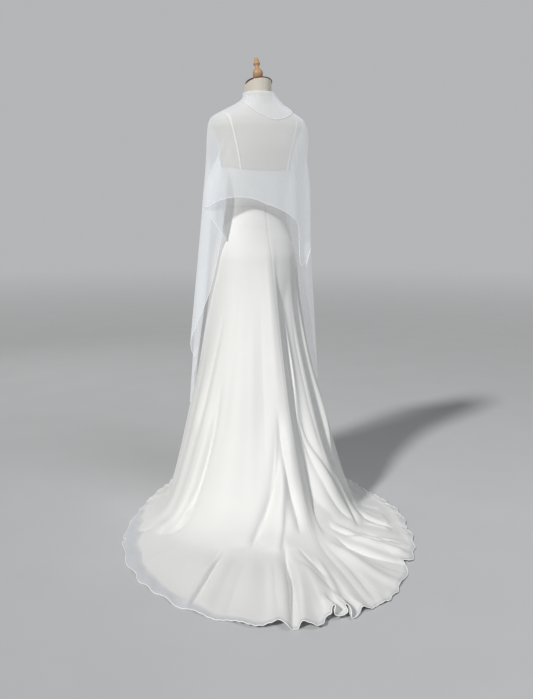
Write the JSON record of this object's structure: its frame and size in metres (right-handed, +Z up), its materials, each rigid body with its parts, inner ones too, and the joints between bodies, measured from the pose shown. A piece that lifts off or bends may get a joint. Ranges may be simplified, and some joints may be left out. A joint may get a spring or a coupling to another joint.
{
  "type": "wedding dress with chiffon shawl on a dress form",
  "caption": "Long plain wedding dress with thin straps, low back and court train, under a sheer chiffon shawl, standing on a limbless dress form.",
  "frame": {"origin": "centre of the stand base's underside, on the floor", "axes": "+Z up; the gown's front faces -Y and its train spreads toward +Y; the wearer's left is +X"},
  "size_m": [1.0722, 1.4988, 1.7003],
  "materials": {
    "crepe": "matte crepe with a soft sheen",
    "lining": "smooth matte",
    "chiffon": "sheer, matte",
    "form_cloth": "plain woven cover",
    "dark_wood": "varnished",
    "pale_wood": "satin, turned",
    "stand_metal": "brushed"
  },
  "bodies": {
    "root": {"form_torso": "form_cloth", "neck_cap": "dark_wood", "finial": "pale_wood", "pole": "stand_metal", "stand_base": "stand_metal", "bodice_front": "crepe", "bodice_back_left": "crepe", "bodice_back_right": "crepe", "strap_left": "crepe", "strap_right": "crepe", "skirt_front": "crepe", "skirt_back_left": "crepe", "skirt_back_right": "crepe", "lining_hem": "lining", "shawl_back": "chiffon", "shawl_left": "chiffon", "shawl_right": "chiffon", "shawl_collar": "chiffon"}
  },
  "joints": []
}
